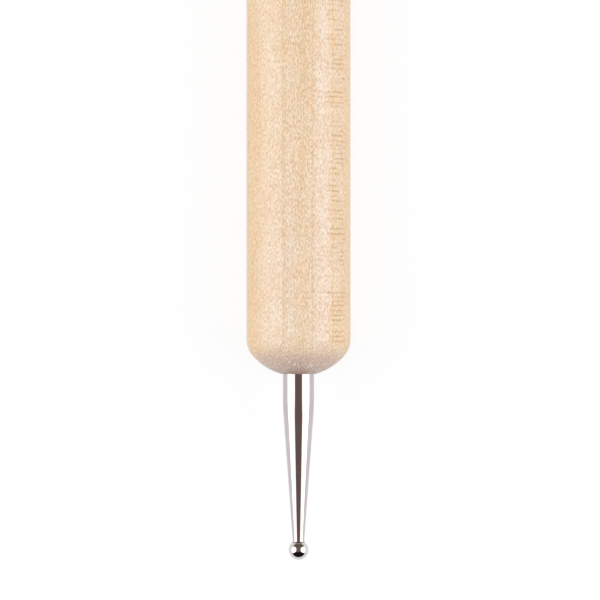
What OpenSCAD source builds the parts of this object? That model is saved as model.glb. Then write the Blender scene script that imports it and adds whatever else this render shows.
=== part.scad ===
// Double-ended embossing stylus: a turned wooden handle with a metal shank glued into each end,
// and a small ball brazed to the tip of each shank.
// It lies along Y on the surface z = 0, with the fine tip towards -Y. Sizes are in millimetres.

/* [Handle] */
// Diameter of the turned wooden handle
handle_d = 10; // [8:0.5:14]
// Length of the handle between the faces of its two holes
handle_l = 100; // [80:1:140]
// Radius of the arc that turns the side into the domed end
corner_r = 2.5; // [1:0.1:3.5]
// How much larger the radius across the middle of the dome is than the handle's own
crown_extra = 0.9; // [0.4:0.1:3]
// Width of the flat ring sanded round each hole
mouth_land = 0.05; // [0.05:0.05:1]

/* [Shanks] */
// Diameter of the metal rod that both shanks are turned from
shank_d = 3; // [2:0.1:3.4]
// How far each tip stands out of the handle, ball included
tip_out = 17.9; // [12:0.1:30]
// Length of each shank that stays straight outside the handle
straight_l = 3.2; // [1:0.1:8]
// Length of each shank that is buried in the handle
tang_l = 20; // [12:0.5:30]
// Chamfer round the buried end of each shank
tang_chamfer = 0.3; // [0.1:0.1:0.8]

/* [Glue grooves] */
// Number of grooves turned round each buried length
groove_count = 3; // [1:1:5]
// Width of each groove
groove_w = 0.8; // [0.4:0.1:1.5]
// Depth of each groove
groove_depth = 0.2; // [0.1:0.05:0.4]
// Distance from one groove to the next
groove_pitch = 4; // [2:0.5:5]
// Distance from the hole's face to the middle of the first groove
groove_start = 5; // [3:0.5:8]

/* [Glue] */
// Clearance between the shank and its hole, all filled with glue
glue_line = 0.15; // [0.05:0.05:0.5]
// Depth of glue left under the buried end of the shank
glue_pool = 1.5; // [0.5:0.1:3]
// How far the glue stays below the face of the hole
glue_recess = 0.2; // [0.1:0.1:1.5]
// Angle of the drill point that leaves the bottom of the hole
drill_angle = 118; // [90:1:140]

/* [Fine tip] */
// Diameter of the fine ball
fine_ball_d = 1.9; // [1.4:0.1:3]
// Diameter of the neck under the fine ball
fine_neck_d = 1.1; // [0.6:0.1:1.6]

/* [Broad tip] */
// Diameter of the broad ball
broad_ball_d = 3; // [2.2:0.1:4]
// Diameter of the neck under the broad ball
broad_neck_d = 1.8; // [1:0.1:2.4]

/* [Braze] */
// How far the braze runs up each neck
braze_leg = 0.15; // [0.1:0.05:0.4]
// How far it runs round each ball from the neck, in degrees
braze_turn = 9; // [6:1:20]

/* [Hidden] */
$fn = 96;
handle_r = handle_d / 2;
shank_r = shank_d / 2;
bore_r = shank_r + glue_line;
// The hole's straight wall, and the cone that the drill point leaves below it
bore_depth = tang_l + glue_pool;
drill_cone = bore_r / tan(drill_angle / 2);
// Centres of the two arcs of the dome, from the line where the side stops being straight
crown_r = handle_r + crown_extra;
corner_x = handle_r - corner_r;
crown_drop = sqrt(pow(crown_r - corner_r, 2) - pow(corner_x, 2));
// The crown is cut this much inside the arc that only touches the corner, so that the two cross
arc_bite = 0.001;
cut_crown_r = crown_r - arc_bite;
dome_h = sqrt(pow(cut_crown_r, 2) - pow(bore_r + mouth_land, 2)) - crown_drop;
side_l = handle_l - 2 * dome_h;

// Height of a ball's centre above the face of the hole
function ball_centre(ball_d) = tip_out - ball_d / 2;

// Height at which a ball's surface is as wide as the neck
function neck_end(ball_d, neck_d) =
    ball_centre(ball_d) - sqrt(pow(ball_d, 2) - pow(neck_d, 2)) / 2;

// Half outline of the domed end, standing on the line where the side stops being straight: the
// crown's sector runs out to where it meets the corner, whose arc then turns into the side
module dome_outline() {
    crown_centre = [0, -crown_drop];
    corner_centre = [corner_x, 0];
    past_the_meeting = crown_centre + 2 * (corner_centre - crown_centre) * crown_r / corner_r;
    intersection() {
        union() {
            intersection() {
                translate(crown_centre) circle(r = cut_crown_r);
                polygon([crown_centre, past_the_meeting, [0, past_the_meeting[1]]]);
            }
            translate(corner_centre) circle(r = corner_r);
        }
        square([handle_r, dome_h]);
    }
}

// Half outline of a drilled hole, from its face at zero down to the point
module bore_outline(top) {
    polygon([
        [0, top], [bore_r, top], [bore_r, -bore_depth], [0, -bore_depth - drill_cone]
    ]);
}

// Half outline of a whole ball
module ball_outline(ball_d) {
    intersection() {
        translate([0, ball_centre(ball_d)]) circle(d = ball_d);
        translate([0, tip_out - ball_d]) square([ball_d, ball_d]);
    }
}

// Half outline of a shank before its seat is hollowed: chamfered and grooved below the hole's
// face, straight and then tapered above it, and drawn on to the ball's centre
module shank_blank_outline(ball_d, neck_d) {
    neck_r = neck_d / 2;
    neck_z = neck_end(ball_d, neck_d);
    centre_z = ball_centre(ball_d);
    slope = (shank_r - neck_r) / (neck_z - straight_l);
    difference() {
        polygon([
            [0, -tang_l], [shank_r - tang_chamfer, -tang_l], [shank_r, -tang_l + tang_chamfer],
            [shank_r, straight_l], [neck_r - slope * (centre_z - neck_z), centre_z], [0, centre_z]
        ]);
        for (i = [0 : groove_count - 1])
            translate([shank_r - groove_depth, -groove_start - i * groove_pitch - groove_w / 2])
                square([2 * groove_depth, groove_w]);
    }
}

// Half outline of a finished shank: the ball's own round leaves the hollow seat
module shank_outline(ball_d, neck_d) {
    difference() {
        shank_blank_outline(ball_d, neck_d);
        ball_outline(ball_d);
    }
}

// Half outline of the braze in the corner between the neck and the ball. Its straight skin is
// drawn on into both of them, and what lies inside them is taken away
module braze_outline(ball_d, neck_d) {
    centre_z = ball_centre(ball_d);
    turn = asin(neck_d / ball_d) + braze_turn;
    on_neck = [neck_d / 2, neck_end(ball_d, neck_d) - braze_leg];
    on_ball = [0, centre_z] + ball_d / 2 * [sin(turn), -cos(turn)];
    overshoot = (on_ball - on_neck) / 2;
    difference() {
        polygon([
            [0, centre_z], [0, (on_neck - overshoot)[1]], on_neck - overshoot, on_ball + overshoot
        ]);
        shank_blank_outline(ball_d, neck_d);
        ball_outline(ball_d);
    }
}

// Lays what stands on the fine end's face along -Y, at the height of the handle's axis
module at_fine_end() {
    translate([0, -handle_l / 2, handle_r]) rotate([90, 0, 0]) children();
}

// Lays what stands on the broad end's face along +Y
module at_broad_end() {
    translate([0, handle_l / 2, handle_r]) rotate([-90, 0, 0]) children();
}

module handle() {
    color("#ecd2ae")
        difference() {
            translate([0, 0, handle_r]) rotate([90, 0, 0]) rotate_extrude() {
                translate([0, -side_l / 2]) square([handle_r, side_l]);
                translate([0, side_l / 2]) dome_outline();
                mirror([0, 1]) translate([0, side_l / 2]) dome_outline();
            }
            // The cutter stands a little above the face, so that the mouth comes out open
            at_fine_end() rotate_extrude() bore_outline(glue_recess);
            at_broad_end() rotate_extrude() bore_outline(glue_recess);
        }
}

module shank(ball_d, neck_d) {
    color("#c9c7c6") rotate_extrude() shank_outline(ball_d, neck_d);
}

module ball(ball_d) {
    color("#dcdbda") rotate_extrude() ball_outline(ball_d);
}

module braze(ball_d, neck_d) {
    color("#a9a29c") rotate_extrude() braze_outline(ball_d, neck_d);
}

// All of the hole that the shank leaves free, up to the glue's own level
module glue(ball_d, neck_d) {
    color("#d8b870") rotate_extrude() difference() {
        bore_outline(-glue_recess);
        shank_outline(ball_d, neck_d);
    }
}

handle();
at_fine_end() shank(fine_ball_d, fine_neck_d);  // fine_tip_shank
at_fine_end() ball(fine_ball_d);  // fine_tip_ball
at_fine_end() braze(fine_ball_d, fine_neck_d);  // fine_tip_braze
at_fine_end() glue(fine_ball_d, fine_neck_d);  // fine_tip_glue
at_broad_end() shank(broad_ball_d, broad_neck_d);  // broad_tip_shank
at_broad_end() ball(broad_ball_d);  // broad_tip_ball
at_broad_end() braze(broad_ball_d, broad_neck_d);  // broad_tip_braze
at_broad_end() glue(broad_ball_d, broad_neck_d);  // broad_tip_glue
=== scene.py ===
"""A double-ended embossing stylus: a turned maple handle with a plated steel shank glued into each
end, and a polished ball brazed to the tip of each shank. All lengths are in metres."""

from math import acos, asin, atan, cos, hypot, pi, radians, sin, sqrt, tan

import bpy
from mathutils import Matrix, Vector


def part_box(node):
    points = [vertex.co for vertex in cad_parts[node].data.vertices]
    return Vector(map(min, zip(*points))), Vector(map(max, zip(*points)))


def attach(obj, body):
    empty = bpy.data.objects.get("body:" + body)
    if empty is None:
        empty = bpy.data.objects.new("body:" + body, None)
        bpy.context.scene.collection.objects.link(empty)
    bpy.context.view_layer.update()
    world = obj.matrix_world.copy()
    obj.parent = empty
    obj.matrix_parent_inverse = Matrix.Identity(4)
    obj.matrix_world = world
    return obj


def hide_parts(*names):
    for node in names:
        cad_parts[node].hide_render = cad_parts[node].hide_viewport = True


bl_info = {
    "name": "Embossing Stylus",
    "version": (1, 0, 0),
    "blender": (4, 5, 0),
    "location": "3D View > Sidebar > Stylus",
    "description": "Models a turned maple embossing stylus with a plated ball tip at each end",
    "category": "Add Mesh",
}

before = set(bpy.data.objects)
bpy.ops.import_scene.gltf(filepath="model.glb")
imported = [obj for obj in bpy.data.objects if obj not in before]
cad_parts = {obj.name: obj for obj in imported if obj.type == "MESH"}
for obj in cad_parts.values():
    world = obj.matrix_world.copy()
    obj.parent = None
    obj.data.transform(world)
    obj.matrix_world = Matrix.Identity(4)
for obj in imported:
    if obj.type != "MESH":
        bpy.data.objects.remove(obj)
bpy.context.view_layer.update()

MM = 0.001
FULL_TURN = 2 * pi

# How many faces go once round each spun piece
HANDLE_SEGMENTS = 160
METAL_SEGMENTS = 96
GLUE_SEGMENTS = 72
# Points closer than this are one, and edges flatter than this look round
MERGE_DISTANCE = 0.0005 * MM
SMOOTH_ANGLE = radians(35)
# How far apart the soft waves of sanding and of polishing lie
SANDING_SPAN = 2.5 * MM
POLISHING_SPAN = 3.5 * MM

# Where the solids lie. The stylus lies along Y, with its fine tip towards -Y
HANDLE_LOW, HANDLE_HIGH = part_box("handle")
HANDLE_R = (HANDLE_HIGH.x - HANDLE_LOW.x) / 2
AXIS_Z = (HANDLE_HIGH.z + HANDLE_LOW.z) / 2


class Tip:
    """Where one end's pieces lie. Heights are measured outwards from the face of the hole."""

    def __init__(self, name, side):
        self.name = name
        self.side = side
        self.face = HANDLE_LOW.y if side < 0 else HANDLE_HIGH.y
        ball_low, ball_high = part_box(name + "_tip_ball")
        shank_low, shank_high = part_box(name + "_tip_shank")
        glue_low, glue_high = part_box(name + "_tip_glue")
        self.ball_r = (ball_high.x - ball_low.x) / 2
        self.ball_at = self.height((ball_low.y + ball_high.y) / 2)
        self.shank_r = (shank_high.x - shank_low.x) / 2
        self.tang = -min(self.height(shank_low.y), self.height(shank_high.y))
        self.neck_at = max(self.height(shank_low.y), self.height(shank_high.y))
        self.neck_r = sqrt(self.ball_r ** 2 - (self.ball_at - self.neck_at) ** 2)
        self.bore_r = (glue_high.x - glue_low.x) / 2
        self.glue_top = max(self.height(glue_low.y), self.height(glue_high.y))
        self.glue_end = min(self.height(glue_low.y), self.height(glue_high.y))

    def height(self, y):
        """Height above the face of the hole, of a place along the stylus."""
        return (y - self.face) * self.side


FINE = Tip("fine", -1)
BROAD = Tip("broad", 1)
TIPS = (FINE, BROAD)


def linear(colour):
    """An sRGB hex colour as the linear colour that shaders take."""
    parts = [int(colour[i:i + 2], 16) / 255 for i in (1, 3, 5)]
    return [p / 12.92 if p <= 0.04045 else ((p + 0.055) / 1.055) ** 2.4 for p in parts]


def rgba(colour):
    return (*linear(colour), 1.0)


class StylusSizes(bpy.types.PropertyGroup):
    """Sizes that the finished pieces have beside those of the solids."""

    corner_r: bpy.props.FloatProperty(
        name="Shoulder Radius", description="Arc that turns the handle's side into its dome",
        default=2.5 * MM, unit="LENGTH", precision=5)
    crown_extra: bpy.props.FloatProperty(
        name="Crown", description="How much larger the dome's middle radius is than the handle's",
        default=0.9 * MM, unit="LENGTH", precision=5)
    mouth_land: bpy.props.FloatProperty(
        name="Mouth Land", description="Width of the flat ring sanded round each hole",
        default=0.05 * MM, unit="LENGTH", precision=5)
    mouth_fray: bpy.props.FloatProperty(
        name="Mouth Fray", description="How far the drill frayed the wood at the hole's edge",
        default=0.02 * MM, unit="LENGTH", precision=5)
    drill_angle: bpy.props.FloatProperty(
        name="Drill Point", description="Angle of the drill point at the bottom of the hole",
        default=radians(118), subtype="ANGLE")
    sanding_wave: bpy.props.FloatProperty(
        name="Sanding Wave", description="Depth of the soft waves that sanding leaves in the wood",
        default=0.012 * MM, unit="LENGTH", precision=5)
    straight_l: bpy.props.FloatProperty(
        name="Straight Length", description="Length of each shank that stays straight outside",
        default=3.2 * MM, unit="LENGTH", precision=5)
    taper_blend: bpy.props.FloatProperty(
        name="Taper Blend", description="Length over which the straight rod turns into its taper",
        default=1.6 * MM, unit="LENGTH", precision=5)
    tang_chamfer: bpy.props.FloatProperty(
        name="Tang Chamfer", description="Chamfer round the buried end of each shank",
        default=0.3 * MM, unit="LENGTH", precision=5)
    groove_count: bpy.props.IntProperty(
        name="Grooves", description="Number of glue grooves round each buried length", default=3)
    groove_w: bpy.props.FloatProperty(
        name="Groove Width", description="Width of each glue groove",
        default=0.8 * MM, unit="LENGTH", precision=5)
    groove_depth: bpy.props.FloatProperty(
        name="Groove Depth", description="Depth of each glue groove",
        default=0.2 * MM, unit="LENGTH", precision=5)
    groove_pitch: bpy.props.FloatProperty(
        name="Groove Pitch", description="Distance from one glue groove to the next",
        default=4 * MM, unit="LENGTH", precision=5)
    groove_start: bpy.props.FloatProperty(
        name="First Groove", description="Distance from the hole's face to the first groove",
        default=5 * MM, unit="LENGTH", precision=5)
    braze_leg: bpy.props.FloatProperty(
        name="Braze Leg", description="How far the braze runs up each neck",
        default=0.15 * MM, unit="LENGTH", precision=5)
    braze_turn: bpy.props.FloatProperty(
        name="Braze Turn", description="How far the braze runs round each ball from the neck",
        default=radians(9), subtype="ANGLE")
    braze_hollow: bpy.props.FloatProperty(
        name="Braze Hollow", description="How far the braze's surface sinks towards the corner",
        default=0.015 * MM, unit="LENGTH", precision=5)
    polish_wave: bpy.props.FloatProperty(
        name="Polish Wave", description="Depth of the soft waves that polishing leaves in the rod",
        default=0.0009 * MM, unit="LENGTH", precision=7)
    meniscus: bpy.props.FloatProperty(
        name="Glue Creep", description="How far the glue crept up the metal and the wood",
        default=0.08 * MM, unit="LENGTH", precision=5)


class StylusColours(bpy.types.PropertyGroup):
    """Colours of the wood, the metal and the glue."""

    cream: bpy.props.FloatVectorProperty(
        name="Cream Wood", description="Pale ground colour of the maple",
        default=linear("#f4d8b5"), subtype="COLOR")
    blush: bpy.props.FloatVectorProperty(
        name="Blush Wood", description="Pinkish white bands along the grain",
        default=linear("#f5dbc4"), subtype="COLOR")
    honey: bpy.props.FloatVectorProperty(
        name="Honey Wood", description="Warmer bands along the grain",
        default=linear("#e9c49b"), subtype="COLOR")
    # Partly the warmer wood of the flanks and partly painted warm bounce light
    amber: bpy.props.FloatVectorProperty(
        name="Amber Wood", description="Warmest wood, along both flanks",
        default=linear("#f6cc97"), subtype="COLOR")
    ray: bpy.props.FloatVectorProperty(
        name="Ray Fleck", description="Short flecks where the wood's rays are cut",
        default=linear("#e2b277"), subtype="COLOR")
    end_grain: bpy.props.FloatVectorProperty(
        name="End Grain", description="Cut fibre ends round the dome",
        default=linear("#dab9a8"), subtype="COLOR")
    # Painted highlight: a pale colour painted on tufts of the end grain to stand for glints of
    # light
    painted_end_glint: bpy.props.FloatVectorProperty(
        name="End Grain Glint", description="Tufts of the cut fibres that catch the light",
        default=linear("#fff2e0"), subtype="COLOR")
    plating: bpy.props.FloatVectorProperty(
        name="Plating", description="Bright plating of the shanks",
        default=linear("#cec5c4"), subtype="COLOR")
    ball_plating: bpy.props.FloatVectorProperty(
        name="Ball Plating", description="Brighter polish of the balls",
        default=linear("#dedad8"), subtype="COLOR")
    glue: bpy.props.FloatVectorProperty(
        name="Glue", description="Set glue in the mouth of each hole",
        default=linear("#c98f4a"), subtype="COLOR")


def sizes():
    return bpy.context.scene.stylus_sizes


def colours():
    return bpy.context.scene.stylus_colours


def add_node(tree, kind, inputs=(), **settings):
    """Adds one shader node. An input is a value to set, or another node's socket to link."""
    node = tree.nodes.new(kind)
    for name, value in settings.items():
        setattr(node, name, value)
    for socket, value in dict(inputs).items():
        if isinstance(value, bpy.types.NodeSocket):
            tree.links.new(value, node.inputs[socket])
        else:
            node.inputs[socket].default_value = value
    return node


def new_material(name):
    """An empty material with its shader and the piece's own coordinates, in metres."""
    material = bpy.data.materials.new(name)
    material.use_nodes = True
    tree = material.node_tree
    shader = tree.nodes["Principled BSDF"]
    place = add_node(tree, "ShaderNodeTexCoord")
    return material, tree, shader, place


# Socket numbers of the colour side of a Mix node
MIX_A, MIX_B, MIX_COLOUR = 6, 7, 2


def maple():
    """Hard maple, turned, fine sanded and thinly sealed: a pale, close ground with soft bands
    and faint growth rings along it, flanks painted amber, partly warmer wood and partly painted
    warm bounce light, a fine grain of short dashes, honey-coloured bars where its rays are cut
    along, darker, greyer fibre ends round the domes, darker still towards the mouths, with
    painted glints on pale tufts, and a satin skin."""
    look = colours()
    material, tree, shader, place = new_material("hard_maple_satin")
    # The stick was cut so that the growth layers lie this far off level
    tilt = radians(-43)
    # A wave node repeats 20 / (2 pi) times in a unit, and at this scale once
    once_per_unit = FULL_TURN / 20
    # Each pattern's grain in mm: across the layers, along the stick and along the layers, and how
    # far along the stick it starts
    patterns = {
        "band": (2.4, 120, 3.2, 37),
        "layer": (1.9, 45, 1.9, 0),
        "group": (2.5, 4.5, 2.0, 0),
        "ray_end": (0.7, 0.4, 0.7, 0),
        "ray_row": (6.0, 0.46, 3.5, 0),
        "ray": (2.2, 0.5, 0.9, 0),
        "dash": (0.09, 0.28, 0.08, 0),
        "fibre": (0.1, 2.2, 0.1, 0),
        "cloud": (1.3, 2.3, 1.3, 0),
        "tuft": (0.2, 0.3, 0.2, 0),
    }
    grain = {}
    for name, (across_layers, along, along_layers, start) in patterns.items():
        grain[name] = add_node(tree, "ShaderNodeMapping", {
            "Vector": place.outputs["Object"],
            "Location": (0, start * MM, 0),
            "Rotation": (0, tilt, 0),
            "Scale": (along_layers * MM, along * MM, across_layers * MM),
        }, vector_type="TEXTURE").outputs["Vector"]

    band = add_node(tree, "ShaderNodeTexNoise", {
        "Vector": grain["band"], "Scale": 1.0, "Detail": 3.0, "Roughness": 0.55})
    warm_band = add_node(tree, "ShaderNodeMapRange", {
        "Value": band.outputs["Fac"], "From Min": 0.42, "From Max": 0.66, "To Max": 0.45},
        interpolation_type="SMOOTHSTEP")
    blush_band = add_node(tree, "ShaderNodeMapRange", {
        "Value": band.outputs["Fac"], "From Min": 0.5, "From Max": 0.32, "To Max": 0.8},
        interpolation_type="SMOOTHSTEP")
    # Growth layers are 1.9 mm apart, the unit of their pattern
    layer = add_node(tree, "ShaderNodeTexWave", {
        "Vector": grain["layer"], "Scale": once_per_unit, "Distortion": 1.6,
        "Detail": 2.0, "Detail Scale": 1.3, "Phase Offset": -1.7},
        bands_direction="Z", wave_profile="SAW")
    late_wood = add_node(tree, "ShaderNodeMapRange", {
        "Value": layer.outputs["Fac"], "From Min": 0.82, "From Max": 1.0, "To Max": 0.55},
        interpolation_type="SMOOTHSTEP")
    # Rays are thin ribbons that run across the layers. Only the flanks that face along the
    # layers show their broad sides, as bars about 0.2 mm high and over 1 mm long
    facing = add_node(tree, "ShaderNodeSeparateXYZ", {"Vector": place.outputs["Normal"]})
    flank = add_node(tree, "ShaderNodeVectorMath", {
        0: place.outputs["Normal"], 1: (cos(tilt), 0, -sin(tilt))}, operation="DOT_PRODUCT")
    to_flank = add_node(tree, "ShaderNodeMath", {0: flank.outputs["Value"]}, operation="ABSOLUTE")
    # Their ends come out up to 0.3 mm sooner or later, each by itself
    ray_end = add_node(tree, "ShaderNodeTexNoise", {
        "Vector": grain["ray_end"], "Scale": 1.0, "Detail": 1.0})
    ragged = add_node(tree, "ShaderNodeMath", {
        0: ray_end.outputs["Fac"], 1: 0.1, 2: to_flank.outputs["Value"]},
        operation="MULTIPLY_ADD")
    ray_side = add_node(tree, "ShaderNodeMapRange", {
        "Value": ragged.outputs["Value"], "From Min": 1.014, "From Max": 1.036},
        interpolation_type="SMOOTHSTEP")
    # They stand in loose groups, a few millimetres from one to the next
    group = add_node(tree, "ShaderNodeTexNoise", {
        "Vector": grain["group"], "Scale": 1.0, "Detail": 1.0})
    grouped = add_node(tree, "ShaderNodeMapRange", {
        "Value": group.outputs["Fac"], "From Min": 0.38, "From Max": 0.56,
        "To Min": 0.3, "To Max": 1.0})
    ray_show = add_node(tree, "ShaderNodeMath", {
        0: ray_side.outputs["Result"], 1: grouped.outputs["Result"]}, operation="MULTIPLY")
    # They lie 0.46 mm apart, give or take half, and break off at the soft cells between them
    ray_row = add_node(tree, "ShaderNodeTexWave", {
        "Vector": grain["ray_row"], "Scale": once_per_unit, "Distortion": 7.0,
        "Detail": 1.0, "Detail Scale": 0.6}, bands_direction="Y")
    ray_bar = add_node(tree, "ShaderNodeMapRange", {
        "Value": ray_row.outputs["Fac"], "From Min": 0.45, "From Max": 0.95},
        interpolation_type="SMOOTHSTEP")
    ray = add_node(tree, "ShaderNodeTexNoise", {
        "Vector": grain["ray"], "Scale": 1.0, "Detail": 2.0, "Roughness": 0.5})
    ray_part = add_node(tree, "ShaderNodeMapRange", {
        "Value": ray.outputs["Fac"], "From Min": 0.38, "From Max": 0.58},
        interpolation_type="SMOOTHSTEP")
    ray_shape = add_node(tree, "ShaderNodeMath", {
        0: ray_bar.outputs["Result"], 1: ray_part.outputs["Result"]}, operation="MULTIPLY")
    # The wood round them is a little warmer too
    ray_tone = add_node(tree, "ShaderNodeMapRange", {
        "Value": ray_shape.outputs["Value"], "To Min": 0.16, "To Max": 1.0})
    ray_cut = add_node(tree, "ShaderNodeMath", {
        0: ray_tone.outputs["Result"], 1: ray_show.outputs["Value"]}, operation="MULTIPLY")
    # Cell walls and the smallest rays catch the light as short dashes, pale and dark alike. Real
    # ones are 0.02 to 0.05 mm wide, so these are as coarse as a picture needs to show them. Both
    # tones are factors of the wood's red, green and blue
    dash = add_node(tree, "ShaderNodeTexNoise", {
        "Vector": grain["dash"], "Scale": 1.0, "Detail": 0.0})
    dash_range = add_node(tree, "ShaderNodeMapRange", {
        "Value": dash.outputs["Fac"], "From Min": 0.25, "From Max": 0.75})
    dash_tone = add_node(tree, "ShaderNodeMix", {
        "Factor": dash_range.outputs["Result"],
        MIX_A: (0.85, 0.77, 0.65, 1), MIX_B: (1.14, 1.22, 1.35, 1)}, data_type="RGBA")
    # Fibres are far finer than this, which is as fine as a picture shows
    fibre = add_node(tree, "ShaderNodeTexNoise", {
        "Vector": grain["fibre"], "Scale": 1.0, "Detail": 3.0, "Roughness": 0.65})
    fibre_shade = add_node(tree, "ShaderNodeMapRange", {
        "Value": fibre.outputs["Fac"], "From Min": 0.3, "From Max": 0.7,
        "To Min": 0.93, "To Max": 1.05})
    # Sap has tinted the wood in soft clouds from 0.3 to 1.3 mm across, warm and pale
    cloud = add_node(tree, "ShaderNodeTexNoise", {
        "Vector": grain["cloud"], "Scale": 1.0, "Detail": 2.0, "Roughness": 0.9})
    cloud_range = add_node(tree, "ShaderNodeMapRange", {
        "Value": cloud.outputs["Fac"], "From Min": 0.345, "From Max": 0.655})
    cloud_tone = add_node(tree, "ShaderNodeMix", {
        "Factor": cloud_range.outputs["Result"],
        MIX_A: (0.994, 0.953, 0.905, 1), MIX_B: (1.006, 1.044, 1.095, 1)}, data_type="RGBA")

    banded = add_node(tree, "ShaderNodeMix", {
        "Factor": warm_band.outputs["Result"],
        MIX_A: (*look.cream, 1), MIX_B: (*look.honey, 1)}, data_type="RGBA")
    blushed = add_node(tree, "ShaderNodeMix", {
        "Factor": blush_band.outputs["Result"],
        MIX_A: banded.outputs[MIX_COLOUR], MIX_B: (*look.blush, 1)}, data_type="RGBA")
    # The stick was sawn with a paler strip along its top and bottom, a little off the middle. Its
    # flanks are painted amber, partly warmer wood and partly painted warm bounce light
    strip_middle, strip_half, amber_and_bounce_at = 0.45 * MM, 2.9 * MM, 5.0 * MM
    across = add_node(tree, "ShaderNodeSeparateXYZ", {"Vector": place.outputs["Object"]})
    from_strip = add_node(tree, "ShaderNodeMath", {
        0: across.outputs["X"], 1: strip_middle}, operation="SUBTRACT")
    to_side = add_node(tree, "ShaderNodeMath", {
        0: from_strip.outputs["Value"]}, operation="ABSOLUTE")
    amber_and_bounce_side = add_node(tree, "ShaderNodeMapRange", {
        "Value": to_side.outputs["Value"], "From Min": strip_half, "From Max": amber_and_bounce_at,
        "To Max": 0.45}, interpolation_type="SMOOTHSTEP")
    amber_and_bounce_warmed = add_node(tree, "ShaderNodeMix", {
        "Factor": amber_and_bounce_side.outputs["Result"],
        MIX_A: blushed.outputs[MIX_COLOUR], MIX_B: (*look.amber, 1)}, data_type="RGBA")
    layered = add_node(tree, "ShaderNodeMix", {
        "Factor": late_wood.outputs["Result"],
        MIX_A: amber_and_bounce_warmed.outputs[MIX_COLOUR], MIX_B: (*look.honey, 1)}, data_type="RGBA")
    clouded = add_node(tree, "ShaderNodeMix", {
        "Factor": 1.0, MIX_A: layered.outputs[MIX_COLOUR], MIX_B: cloud_tone.outputs[MIX_COLOUR]},
        data_type="RGBA", blend_type="MULTIPLY")
    flecked = add_node(tree, "ShaderNodeMix", {
        "Factor": ray_cut.outputs["Value"],
        MIX_A: clouded.outputs[MIX_COLOUR], MIX_B: (*look.ray, 1)}, data_type="RGBA")

    # Round the dome the fibres are cut across and look darker and greyer
    outward = add_node(tree, "ShaderNodeMath", {0: facing.outputs["Y"]}, operation="ABSOLUTE")
    cut_across = add_node(tree, "ShaderNodeMapRange", {
        "Value": outward.outputs["Value"], "From Min": 0.32, "From Max": 0.9},
        interpolation_type="SMOOTHSTEP")
    # Their cut ends, in tufts up to 0.2 mm across, carry painted glints, a painted highlight, here
    # and there in the rays' loose groups
    tuft = add_node(tree, "ShaderNodeTexNoise", {
        "Vector": grain["tuft"], "Scale": 1.0, "Detail": 2.0, "Roughness": 0.6})
    painted_glint = add_node(tree, "ShaderNodeMapRange", {
        "Value": tuft.outputs["Fac"], "From Min": 0.53, "From Max": 0.63})
    painted_glint_group = add_node(tree, "ShaderNodeMapRange", {
        "Value": group.outputs["Fac"], "From Min": 0.42, "From Max": 0.58, "To Min": 0.6})
    grouped_painted_glint = add_node(tree, "ShaderNodeMath", {
        0: painted_glint.outputs["Result"], 1: painted_glint_group.outputs["Result"]}, operation="MULTIPLY")
    painted_glint_tufted = add_node(tree, "ShaderNodeMix", {
        "Factor": grouped_painted_glint.outputs["Value"],
        MIX_A: (*look.end_grain, 1), MIX_B: (*look.painted_end_glint, 1)}, data_type="RGBA")
    # The end grain is painted darker towards the mouths, down to 0.88 of its colour
    darker_to_mouths = add_node(tree, "ShaderNodeMapRange", {
        "Value": outward.outputs["Value"], "From Min": 0.8, "From Max": 0.96,
        "To Min": 1.0, "To Max": 0.88})
    end_colour = add_node(tree, "ShaderNodeMix", {
        "Factor": 1.0, MIX_A: painted_glint_tufted.outputs[MIX_COLOUR], MIX_B: darker_to_mouths.outputs["Result"]},
        data_type="RGBA", blend_type="MULTIPLY")
    ended = add_node(tree, "ShaderNodeMix", {
        "Factor": cut_across.outputs["Result"],
        MIX_A: flecked.outputs[MIX_COLOUR], MIX_B: end_colour.outputs[MIX_COLOUR]},
        data_type="RGBA")
    dashed = add_node(tree, "ShaderNodeMix", {
        "Factor": 1.0, MIX_A: ended.outputs[MIX_COLOUR], MIX_B: dash_tone.outputs[MIX_COLOUR]},
        data_type="RGBA", blend_type="MULTIPLY")
    shaded = add_node(tree, "ShaderNodeMix", {
        "Factor": 1.0, MIX_A: dashed.outputs[MIX_COLOUR], MIX_B: fibre_shade.outputs["Result"]},
        data_type="RGBA", blend_type="MULTIPLY")
    tree.links.new(shaded.outputs[MIX_COLOUR], shader.inputs["Base Color"])

    # The seal is thinner and duller over the paler fibres. The dashes stand out in it, and the
    # cut ends round the dome five times as much
    rough = add_node(tree, "ShaderNodeMapRange", {
        "Value": fibre.outputs["Fac"], "From Min": 0.3, "From Max": 0.7,
        "To Min": 0.42, "To Max": 0.58})
    tree.links.new(rough.outputs["Result"], shader.inputs["Roughness"])
    raised = add_node(tree, "ShaderNodeMath", {
        0: tuft.outputs["Fac"], 1: cut_across.outputs["Result"]}, operation="MULTIPLY")
    relief = add_node(tree, "ShaderNodeMath", {
        0: raised.outputs["Value"], 1: 5.0, 2: dash.outputs["Fac"]}, operation="MULTIPLY_ADD")
    bump = add_node(tree, "ShaderNodeBump", {
        "Height": relief.outputs["Value"], "Strength": 0.35, "Distance": 0.02 * MM})
    tree.links.new(bump.outputs["Normal"], shader.inputs["Normal"])
    shader.inputs["IOR"].default_value = 1.5
    shader.inputs["Coat Weight"].default_value = 0.45
    shader.inputs["Coat Roughness"].default_value = 0.3
    return material


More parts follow.
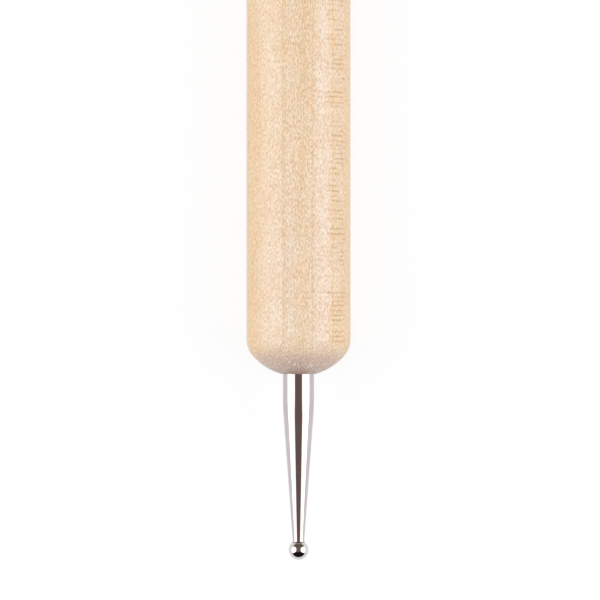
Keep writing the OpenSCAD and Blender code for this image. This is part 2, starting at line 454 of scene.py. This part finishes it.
def bright_plate(name, colour, dull=0.0):
    """Turned steel, nickel plated and buffed: a near mirror, pale and faintly warm, in which the
    finest turning marks and buffing lines still blur what it reflects a little."""
    material, tree, shader, place = new_material(name)
    # Turning marks run round the rod. Real ones are 0.05 mm apart, too fine to show, so these
    # are drawn 0.16 mm apart
    turning_size = add_node(tree, "ShaderNodeMapping", {
        "Vector": place.outputs["Object"], "Scale": (4 * MM, 0.16 * MM, 4 * MM)},
        vector_type="TEXTURE")
    turning = add_node(tree, "ShaderNodeTexNoise", {
        "Vector": turning_size.outputs["Vector"], "Scale": 1.0, "Detail": 2.0})
    # Buffing leaves a cloudy difference in polish about 1.2 mm across
    cloud_size = add_node(tree, "ShaderNodeMapping", {
        "Vector": place.outputs["Object"], "Scale": (1.2 * MM, 2 * MM, 1.2 * MM)},
        vector_type="TEXTURE")
    cloud = add_node(tree, "ShaderNodeTexNoise", {
        "Vector": cloud_size.outputs["Vector"], "Scale": 1.0, "Detail": 3.0})
    tint = add_node(tree, "ShaderNodeMapRange", {
        "Value": cloud.outputs["Fac"], "From Min": 0.35, "From Max": 0.65,
        "To Min": 0.96 - dull, "To Max": 1.03 - dull})
    tinted = add_node(tree, "ShaderNodeMix", {
        "Factor": 1.0, MIX_A: (*colour, 1), MIX_B: tint.outputs["Result"]},
        data_type="RGBA", blend_type="MULTIPLY")
    polish = add_node(tree, "ShaderNodeMapRange", {
        "Value": turning.outputs["Fac"], "From Min": 0.35, "From Max": 0.65,
        "To Min": 0.05 + dull, "To Max": 0.09 + dull})
    bump = add_node(tree, "ShaderNodeBump", {
        "Height": turning.outputs["Fac"], "Strength": 0.3, "Distance": 0.0006 * MM})
    tree.links.new(tinted.outputs[MIX_COLOUR], shader.inputs["Base Color"])
    tree.links.new(polish.outputs["Result"], shader.inputs["Roughness"])
    tree.links.new(bump.outputs["Normal"], shader.inputs["Normal"])
    shader.inputs["Metallic"].default_value = 1.0
    return material


def set_epoxy():
    """Set epoxy glue: honey coloured and glossy, with fine bubbles under its skin."""
    look = colours()
    material, tree, shader, place = new_material("honey_epoxy_set")
    # The bubbles are about 0.12 mm apart
    bubble_size = add_node(tree, "ShaderNodeMapping", {
        "Vector": place.outputs["Object"], "Scale": (0.12 * MM, 0.12 * MM, 0.12 * MM)},
        vector_type="TEXTURE")
    bubble = add_node(tree, "ShaderNodeTexVoronoi", {
        "Vector": bubble_size.outputs["Vector"], "Scale": 1.0})
    pale = add_node(tree, "ShaderNodeMapRange", {
        "Value": bubble.outputs["Distance"], "From Min": 0.1, "From Max": 0.4,
        "To Min": 0.8, "To Max": 1.1})
    tinted = add_node(tree, "ShaderNodeMix", {
        "Factor": 1.0, MIX_A: (*look.glue, 1), MIX_B: pale.outputs["Result"]},
        data_type="RGBA", blend_type="MULTIPLY")
    bump = add_node(tree, "ShaderNodeBump", {
        "Height": bubble.outputs["Distance"], "Strength": 0.2, "Distance": 0.01 * MM})
    tree.links.new(tinted.outputs[MIX_COLOUR], shader.inputs["Base Color"])
    tree.links.new(bump.outputs["Normal"], shader.inputs["Normal"])
    shader.inputs["Roughness"].default_value = 0.22
    shader.inputs["IOR"].default_value = 1.55
    return material


def arc(centre, radius, start, end, steps):
    """Points of an arc as (distance from the axis, height), at angles from first to last."""
    angles = [start + (end - start) * i / steps for i in range(steps + 1)]
    return [(centre[0] + radius * cos(a), centre[1] + radius * sin(a)) for a in angles]


def spin_piece(name, outline, tip, segments):
    """Draws an outline of (distance from the axis, height above that tip's face) point by point,
    spins it once round the stylus's axis, and closes and smooths the shell."""
    points = [Vector((r, tip.face + tip.side * height, AXIS_Z)) for r, height in outline]
    bpy.ops.object.select_all(action="DESELECT")
    bpy.ops.mesh.primitive_plane_add(size=MM, location=points[0])
    piece = bpy.context.active_object
    piece.name = piece.data.name = name
    bpy.ops.object.transform_apply(location=True, rotation=True, scale=True)
    bpy.ops.object.mode_set(mode="EDIT")
    bpy.ops.mesh.select_all(action="SELECT")
    bpy.ops.mesh.merge(type="CENTER")
    for here, there in zip(points, points[1:]):
        bpy.ops.mesh.extrude_region_move(TRANSFORM_OT_translate={"value": there - here})
    bpy.ops.mesh.select_all(action="SELECT")
    bpy.ops.mesh.spin(
        steps=segments, angle=FULL_TURN, center=(0, tip.face, AXIS_Z), axis=(0, 1, 0))
    bpy.ops.mesh.select_all(action="SELECT")
    bpy.ops.mesh.remove_doubles(threshold=MERGE_DISTANCE)
    bpy.ops.mesh.normals_make_consistent(inside=False)
    bpy.ops.object.mode_set(mode="OBJECT")
    bpy.ops.object.shade_smooth_by_angle(angle=SMOOTH_ANGLE)
    return piece


def dress(piece, material, node):
    """Gives a finished piece its material and its place in the frame, and hides the solid it
    stands for.
    """
    piece.data.materials.clear()
    piece.data.materials.append(material)
    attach(piece, "root")
    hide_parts(node)


def roughen(piece, depth, span, name):
    """Moves the surface in and out by that depth, in soft waves that lie that far apart."""
    texture = bpy.data.textures.new(name, "CLOUDS")
    texture.noise_scale = span
    texture.noise_depth = 1
    bpy.ops.object.select_all(action="DESELECT")
    bpy.context.view_layer.objects.active = piece
    piece.select_set(True)
    wave = piece.modifiers.new(name, "DISPLACE")
    wave.texture = texture
    wave.texture_coords = "LOCAL"
    wave.strength = depth
    wave.mid_level = 0.5
    bpy.ops.object.modifier_apply(modifier=wave.name)


def dome_outline(bore_r):
    """The dome from the mouth's land out to the side, as (distance from the axis, height above
    the face): the crown's arc and the shoulder's arc, which meet where both face one way."""
    size = sizes()
    crown_steps, shoulder_steps = 26, 22
    crown_r = HANDLE_R + size.crown_extra
    shoulder_x = HANDLE_R - size.corner_r
    crown_below_side = sqrt((crown_r - size.corner_r) ** 2 - shoulder_x ** 2)
    land_r = bore_r + size.mouth_land
    dome_h = sqrt(crown_r ** 2 - land_r ** 2) - crown_below_side
    meet = atan(crown_below_side / shoulder_x)
    crown_centre = (0, -crown_below_side - dome_h)
    crown = arc(crown_centre, crown_r, acos(land_r / crown_r), meet, crown_steps)
    shoulder = arc((shoulder_x, -dome_h), size.corner_r, meet, 0, shoulder_steps)
    return crown + shoulder[1:], dome_h


def drill_drop(tip):
    """Height of the cone that the drill point left at the bottom of the hole."""
    return tip.bore_r / tan(sizes().drill_angle / 2)


class STYLUS_OT_handle(bpy.types.Operator):
    """Turn the maple handle with its two domes and two drilled holes"""

    bl_idname = "stylus.handle"
    bl_label = "Turn Handle"

    def execute(self, context):
        length = BROAD.face - FINE.face
        wall_steps, side_steps = 12, 116
        ends = []
        for tip in TIPS:
            wall_end = tip.glue_end + drill_drop(tip)
            wall = [(tip.bore_r, wall_end * (1 - i / wall_steps)) for i in range(wall_steps + 1)]
            dome, dome_h = dome_outline(tip.bore_r)
            ends.append([(0, tip.glue_end), *wall, *dome])
        near, far = ends
        side_l = length - 2 * dome_h
        side = [(HANDLE_R, -dome_h - side_l * i / side_steps) for i in range(1, side_steps)]
        # The far end's heights run outwards from its own face, so it is turned round
        turned_far = [(r, -length - height) for r, height in reversed(far)]
        outline = near + side + turned_far
        piece = spin_piece("maple_handle", outline, FINE, HANDLE_SEGMENTS)
        fray_mouths(piece)
        roughen(piece, sizes().sanding_wave, SANDING_SPAN, "sanding")
        dress(piece, maple(), "handle")
        return {"FINISHED"}


def fray_mouths(piece):
    """Moves the wood's points round the two mouths a little at random, as a drill leaves them."""
    size = sizes()
    edge_r = FINE.bore_r + size.mouth_land / 2
    reach = size.mouth_land
    bpy.ops.object.select_all(action="DESELECT")
    bpy.context.view_layer.objects.active = piece
    piece.select_set(True)
    bpy.ops.object.mode_set(mode="EDIT")
    bpy.ops.mesh.select_all(action="DESELECT")
    bpy.ops.object.mode_set(mode="OBJECT")
    for point in piece.data.vertices:
        from_axis = hypot(point.co.x, point.co.z - AXIS_Z)
        to_face = min(abs(point.co.y - tip.face) for tip in TIPS)
        point.select = abs(from_axis - edge_r) < reach and to_face < reach
    bpy.ops.object.mode_set(mode="EDIT")
    bpy.ops.transform.vertex_random(offset=size.mouth_fray, seed=3)
    bpy.ops.object.mode_set(mode="OBJECT")


def taper_slope(tip):
    """How much the radius of a shank shrinks for each unit of height along its taper."""
    return (tip.shank_r - tip.neck_r) / (tip.neck_at - sizes().straight_l)


def shank_outline(tip):
    """The shank from the middle of its buried end to the middle of its hollow seat."""
    size = sizes()
    plain_steps, blend_steps, taper_steps, seat_steps = 12, 10, 60, 12
    slope = taper_slope(tip)
    half_blend = size.taper_blend / 2
    outline = [(0, -tip.tang), (tip.shank_r - size.tang_chamfer, -tip.tang),
               (tip.shank_r, -tip.tang + size.tang_chamfer)]
    for i in reversed(range(size.groove_count)):
        middle = -size.groove_start - i * size.groove_pitch
        floor_r = tip.shank_r - size.groove_depth
        low, high = middle - size.groove_w / 2, middle + size.groove_w / 2
        outline += [(tip.shank_r, low), (floor_r, low), (floor_r, high), (tip.shank_r, high)]
    blend_start = size.straight_l - half_blend
    outline += [(tip.shank_r, blend_start * i / plain_steps) for i in range(plain_steps + 1)]
    # Over the blend the slope grows evenly from none to the taper's own
    for i in range(1, blend_steps + 1):
        run = size.taper_blend * i / blend_steps
        outline.append((tip.shank_r - slope * run ** 2 / (2 * size.taper_blend),
                        blend_start + run))
    taper_start = size.straight_l + half_blend
    for i in range(1, taper_steps + 1):
        height = taper_start + (tip.neck_at - taper_start) * i / taper_steps
        outline.append((tip.shank_r - slope * (height - size.straight_l), height))
    seat_angle = acos(tip.neck_r / tip.ball_r)
    outline += arc((0, tip.ball_at), tip.ball_r, -seat_angle, -pi / 2, seat_steps)[1:]
    return outline


class STYLUS_OT_shanks(bpy.types.Operator):
    """Turn, plate and polish the two tapered shanks"""

    bl_idname = "stylus.shanks"
    bl_label = "Turn Shanks"

    def execute(self, context):
        plate = bright_plate("nickel_plated_steel_buffed", colours().plating)
        for tip in TIPS:
            piece = spin_piece(tip.name + "_plated_shank", shank_outline(tip), tip, METAL_SEGMENTS)
            roughen(piece, sizes().polish_wave, POLISHING_SPAN, tip.name + "_polish")
            dress(piece, plate, tip.name + "_tip_shank")
        return {"FINISHED"}


class STYLUS_OT_balls(bpy.types.Operator):
    """Grind and polish the two balls"""

    bl_idname = "stylus.balls"
    bl_label = "Grind Balls"

    def execute(self, context):
        plate = bright_plate("nickel_plated_ball_polished", colours().ball_plating)
        pole_to_pole_steps = 64
        for tip in TIPS:
            outline = arc((0, tip.ball_at), tip.ball_r, -pi / 2, pi / 2, pole_to_pole_steps)
            piece = spin_piece(tip.name + "_polished_ball", outline, tip, METAL_SEGMENTS)
            dress(piece, plate, tip.name + "_tip_ball")
        return {"FINISHED"}


def braze_outline(tip):
    """The braze's hollow surface from the neck out to the ball, closed under the metal's skin."""
    size = sizes()
    steps = 14
    neck_r = tip.neck_r + taper_slope(tip) * size.braze_leg
    turn = asin(tip.neck_r / tip.ball_r) + size.braze_turn
    corner = Vector((tip.neck_r, tip.neck_at))
    on_neck = Vector((neck_r, tip.neck_at - size.braze_leg))
    on_ball = Vector((tip.ball_r * sin(turn), tip.ball_at - tip.ball_r * cos(turn)))
    inward = (corner - (on_neck + on_ball) / 2).normalized() * size.braze_hollow
    # The hollow is a parabola that is deepest halfway
    skin = [on_neck.lerp(on_ball, i / steps) + inward * 4 * (i / steps) * (1 - i / steps)
            for i in range(steps + 1)]
    sunk = Vector((0.02 * MM, 0))
    return [on_neck - sunk, *skin, on_ball - sunk, corner - sunk, on_neck - sunk]


class STYLUS_OT_braze(bpy.types.Operator):
    """Run a hollow fillet of braze round the neck under each ball"""

    bl_idname = "stylus.braze"
    bl_label = "Run Braze"

    def execute(self, context):
        plate = bright_plate("plated_silver_braze", colours().plating, dull=0.03)
        for tip in TIPS:
            piece = spin_piece(tip.name + "_braze_fillet", braze_outline(tip), tip, METAL_SEGMENTS)
            dress(piece, plate, tip.name + "_tip_braze")
        return {"FINISHED"}


class STYLUS_OT_glue(bpy.types.Operator):
    """Fill the holes round the shanks with glue, up to a hollow ring below each mouth"""

    bl_idname = "stylus.glue"
    bl_label = "Fill Glue"

    def execute(self, context):
        epoxy = set_epoxy()
        # The glue's surface is half an ellipse, hung between the wood and the metal
        creep_steps = 10
        half_circle = arc((0, 0), 1, 0, -pi, creep_steps)
        for tip in TIPS:
            gap_half = (tip.bore_r - tip.shank_r) / 2
            ring_r = (tip.bore_r + tip.shank_r) / 2
            hollow = [(ring_r + gap_half * across, tip.glue_top + sizes().meniscus * up)
                      for across, up in half_circle]
            outline = [(0, tip.glue_end), (tip.bore_r, tip.glue_end + drill_drop(tip)),
                       *hollow, (tip.shank_r, -tip.tang), (0, -tip.tang)]
            piece = spin_piece(tip.name + "_glue_fill", outline, tip, GLUE_SEGMENTS)
            dress(piece, epoxy, tip.name + "_tip_glue")
        return {"FINISHED"}


def background_rays(tree):
    """1 for the rays that see the background: the camera's own, and those off metal and glass."""
    path = add_node(tree, "ShaderNodeLightPath")
    shiny = add_node(tree, "ShaderNodeMath", {
        0: path.outputs["Is Glossy Ray"], 1: path.outputs["Is Transmission Ray"]},
        operation="MAXIMUM")
    return add_node(tree, "ShaderNodeMath", {
        0: path.outputs["Is Camera Ray"], 1: shiny.outputs["Value"]},
        operation="MAXIMUM").outputs["Value"]


def white_room():
    """A white surround for the camera and for reflections, and a dim even fill for the rest."""
    world = bpy.data.worlds.new("white_room")
    bpy.context.scene.world = world
    world.use_nodes = True
    tree = world.node_tree
    background = tree.nodes["Background"]
    seen = background_rays(tree)
    strength = add_node(tree, "ShaderNodeMapRange", {"Value": seen, "To Min": 0.23, "To Max": 1.0})
    tree.links.new(strength.outputs["Result"], background.inputs["Strength"])
    background.inputs["Color"].default_value = rgba("#ffffff")


def white_paper():
    """White paper, lit to white where it is seen, which keeps a faint shadow near the stylus."""
    # The shadow fades out between these distances from the stylus's middle
    near, far = 0.1, 0.45
    material, tree, shader, place = new_material("white_paper_floor")
    shader.inputs["Base Color"].default_value = rgba("#f5f7fa")
    shader.inputs["Roughness"].default_value = 0.9
    shader.inputs["Specular IOR Level"].default_value = 0.0
    away = add_node(tree, "ShaderNodeVectorMath", {0: place.outputs["Object"]}, operation="LENGTH")
    strength = add_node(tree, "ShaderNodeMapRange", {
        "Value": away.outputs["Value"], "From Min": near, "From Max": far,
        "To Min": 1.05, "To Max": 1.0}, interpolation_type="SMOOTHSTEP")
    glow = add_node(tree, "ShaderNodeEmission", {
        "Color": rgba("#ffffff"), "Strength": strength.outputs["Result"]})
    # Near the stylus the paper glows less, so that it keeps its shadow, most of all in reflections
    path = add_node(tree, "ShaderNodeLightPath")
    near_share = add_node(tree, "ShaderNodeMapRange", {
        "Value": path.outputs["Is Camera Ray"], "To Min": 0.4, "To Max": 0.78})
    share = add_node(tree, "ShaderNodeMapRange", {
        "Value": away.outputs["Value"], "From Min": near, "From Max": far,
        "To Min": near_share.outputs["Result"], "To Max": 1.0},
        interpolation_type="SMOOTHSTEP")
    seen = add_node(tree, "ShaderNodeMath", {
        0: share.outputs["Result"], 1: background_rays(tree)}, operation="MULTIPLY")
    mix = add_node(tree, "ShaderNodeMixShader", {
        0: seen.outputs["Value"], 1: shader.outputs["BSDF"], 2: glow.outputs["Emission"]})
    tree.links.new(mix.outputs["Shader"], tree.nodes["Material Output"].inputs["Surface"])
    return material


def dark_card(name, corners, colour):
    """A card that only reflections see: it gives the metal its dark bands."""
    bpy.ops.object.select_all(action="DESELECT")
    bpy.ops.mesh.primitive_plane_add(size=2)
    card = bpy.context.active_object
    card.name = card.data.name = name
    for point, corner in zip(card.data.vertices, corners):
        point.co = corner
    material = bpy.data.materials.new(name)
    material.use_nodes = True
    tree = material.node_tree
    tree.nodes.remove(tree.nodes["Principled BSDF"])
    glow = add_node(tree, "ShaderNodeEmission", {"Color": rgba(colour), "Strength": 1.0})
    tree.links.new(glow.outputs["Emission"], tree.nodes["Material Output"].inputs["Surface"])
    card.data.materials.append(material)
    card.visible_camera = False
    card.visible_diffuse = False
    card.visible_shadow = False
    card.visible_transmission = False


def softbox(name, side, size_across, size_along, distance, tilt, radiance):
    """A flat lamp beside the stylus, facing it, as bright as that radiance says."""
    data = bpy.data.lights.new(name, "AREA")
    data.shape = "ELLIPSE"
    data.size = size_across
    data.size_y = size_along
    data.energy = radiance * pi * (pi / 4 * size_across * size_along)
    lamp = bpy.data.objects.new(name, data)
    bpy.context.scene.collection.objects.link(lamp)
    lamp.location = (side * distance * sin(tilt), 0, AXIS_Z + distance * cos(tilt))
    lamp.rotation_euler = (0, side * tilt, 0)
    lamp.visible_camera = False
    return lamp


class STYLUS_OT_stage(bpy.types.Operator):
    """Lay the floor, set the lamps and the dark cards, and place the camera"""

    bl_idname = "stylus.stage"
    bl_label = "Set Stage"

    def execute(self, context):
        scene = bpy.context.scene
        scene.view_settings.view_transform = "Standard"
        white_room()
        floor_size = 8
        bpy.ops.object.select_all(action="DESELECT")
        bpy.ops.mesh.primitive_plane_add(size=floor_size)
        floor = bpy.context.active_object
        floor.name = floor.data.name = "paper_floor"
        floor.data.materials.append(white_paper())

        # Each softbox fills the directions from the dark gap overhead down to the floor
        gap_half, low_edge, end_half = radians(26), radians(87), radians(30)
        distance, radiance = 0.5, 1.79
        tilt = (gap_half + low_edge) / 2
        across = 2 * distance * tan((low_edge - gap_half) / 2)
        along = 2 * distance * tan(end_half)
        for name, side in (("left_softbox", -1), ("right_softbox", 1)):
            softbox(name, side, across, along, distance, tilt, radiance)
        # A soft light through the gap overhead reaches the wood, and the metal doesn't show it
        lamp_size, lamp_distance, lamp_radiance = 0.5, 0.8, 2.6
        overhead = softbox("overhead", 0, lamp_size, lamp_size, lamp_distance, 0, lamp_radiance)
        overhead.visible_glossy = False

        # Dark cards close the stage overhead and at both ends, behind the softboxes. The ceiling's
        # darker near part starts 24 degrees off upright
        top, wide, near, far = 0.75, 1.0, -0.62, 0.62
        meet = -top * tan(radians(24))
        dark_card("ceiling_card", [(-wide, meet, top), (wide, meet, top),
                                   (-wide, far, top), (wide, far, top)], "#776863")
        dark_card("near_ceiling_card", [(-wide, near, top), (wide, near, top),
                                        (-wide, meet, top), (wide, meet, top)], "#241a26")
        dark_card("near_card", [(-wide, near, 0), (wide, near, 0),
                                (-wide, near, top), (wide, near, top)], "#1d1620")
        dark_card("far_card", [(-wide, far, 0), (wide, far, 0),
                               (-wide, far, top), (wide, far, top)], "#6a5c52")

        # The camera looks straight down on the fine end. 57.7 mm fill the picture's 600 pixels
        view_w = 57.69 * MM
        view_x = 0.144 * MM
        view_y = -42.91 * MM
        data = bpy.data.cameras.new("camera")
        data.lens = 200
        data.sensor_width = 36
        data.clip_start = 0.01
        data.clip_end = 20
        camera = bpy.data.objects.new("camera", data)
        scene.collection.objects.link(camera)
        camera.location = (view_x, view_y, AXIS_Z + view_w * data.lens / data.sensor_width)
        scene.camera = camera
        return {"FINISHED"}


class STYLUS_PT_panel(bpy.types.Panel):
    """Lists the steps that make the stylus, with its sizes and colours"""

    bl_label = "Embossing Stylus"
    bl_idname = "STYLUS_PT_panel"
    bl_space_type = "VIEW_3D"
    bl_region_type = "UI"
    bl_category = "Stylus"

    def draw(self, context):
        for operator in OPERATORS:
            self.layout.operator(operator.bl_idname)
        for group in (context.scene.stylus_sizes, context.scene.stylus_colours):
            box = self.layout.box()
            for name in group.__annotations__:
                box.prop(group, name)


OPERATORS = (STYLUS_OT_handle, STYLUS_OT_shanks, STYLUS_OT_balls, STYLUS_OT_braze, STYLUS_OT_glue,
             STYLUS_OT_stage)
CLASSES = (StylusSizes, StylusColours, *OPERATORS, STYLUS_PT_panel)


def register():
    for cls in CLASSES:
        bpy.utils.register_class(cls)
    bpy.types.Scene.stylus_sizes = bpy.props.PointerProperty(type=StylusSizes)
    bpy.types.Scene.stylus_colours = bpy.props.PointerProperty(type=StylusColours)


def unregister():
    del bpy.types.Scene.stylus_colours
    del bpy.types.Scene.stylus_sizes
    for cls in reversed(CLASSES):
        bpy.utils.unregister_class(cls)


def main():
    register()
    bpy.ops.stylus.handle()
    bpy.ops.stylus.shanks()
    bpy.ops.stylus.balls()
    bpy.ops.stylus.braze()
    bpy.ops.stylus.glue()
    bpy.ops.stylus.stage()


if __name__ == "__main__":
    main()
